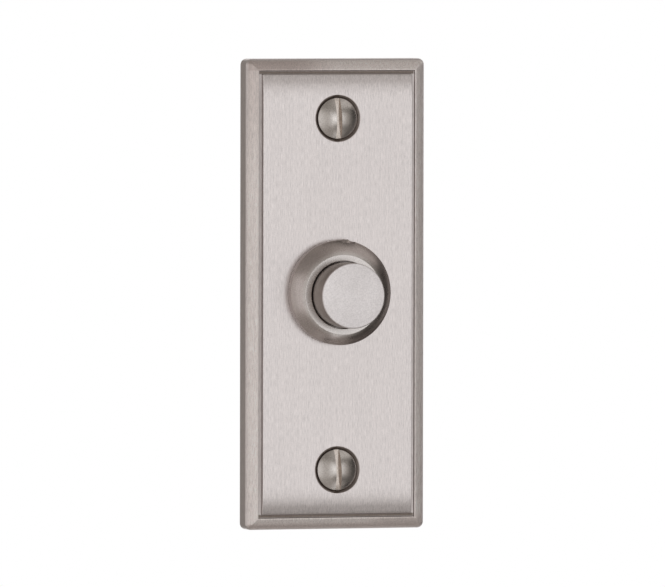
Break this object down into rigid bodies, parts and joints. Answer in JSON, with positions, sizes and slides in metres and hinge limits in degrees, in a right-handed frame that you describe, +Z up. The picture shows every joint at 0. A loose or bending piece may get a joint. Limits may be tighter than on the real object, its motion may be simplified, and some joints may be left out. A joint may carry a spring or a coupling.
{
  "type": "doorbell push button",
  "caption": "Rectangular satin nickel bell push plate with a falling border, a round collar, a proud sprung button, slotted fixing screws and a contact unit behind.",
  "frame": {"origin": "on the button's axis, in the plane of the plate's back, midway between the fixing screws", "axes": "+Z up the door along the plate's length, +Y into the door, so the button faces -Y, +X to the right"},
  "size_m": [0.033, 0.0346, 0.083],
  "materials": {
    "plate_nickel": "satin nickel plate over brass, linished lengthways",
    "collar_nickel": "satin nickel plate over brass, turned",
    "button_nickel": "satin nickel plate over brass, turned",
    "screw_nickel": "nickel plate, polished head",
    "plain_brass": "bright machined brass",
    "contact_bronze": "rolled phosphor bronze strip",
    "contact_silver": "silver contact face",
    "spring_steel": "drawn spring steel",
    "zinc_steel": "zinc plated steel",
    "black_moulding": "moulded thermoset, satin",
    "white_nylon": "moulded nylon"
  },
  "bodies": {
    "plate": {"face_plate": "plate_nickel", "button_collar": "collar_nickel", "fixing_screw_top": "screw_nickel", "fixing_screw_bottom": "screw_nickel", "collar_nut": "plain_brass", "terminal_screw_left": "plain_brass", "terminal_screw_right": "plain_brass", "terminal_washer_left": "plain_brass", "terminal_washer_right": "plain_brass", "fixed_contact_left": "contact_bronze", "fixed_contact_right": "contact_bronze", "contact_rivet_left": "contact_silver", "contact_rivet_right": "contact_silver", "return_spring": "spring_steel", "lock_washer": "spring_steel", "base_screw_top": "zinc_steel", "base_screw_bottom": "zinc_steel", "contact_housing": "black_moulding", "terminal_base": "black_moulding"},
    "button": {"push_button": "button_nickel", "insulating_bush": "white_nylon", "insulating_washer": "white_nylon", "moving_contact": "contact_bronze", "retaining_clip": "spring_steel"}
  },
  "joints": [
    {"name": "button_travel", "type": "slide", "parent": "plate", "child": "button", "axis": [0, 1, 0], "range_m": [0, 0.0025], "stiffness_N_per_m": 700, "springref_m": -0.003, "deforming": ["return_spring"]}
  ]
}
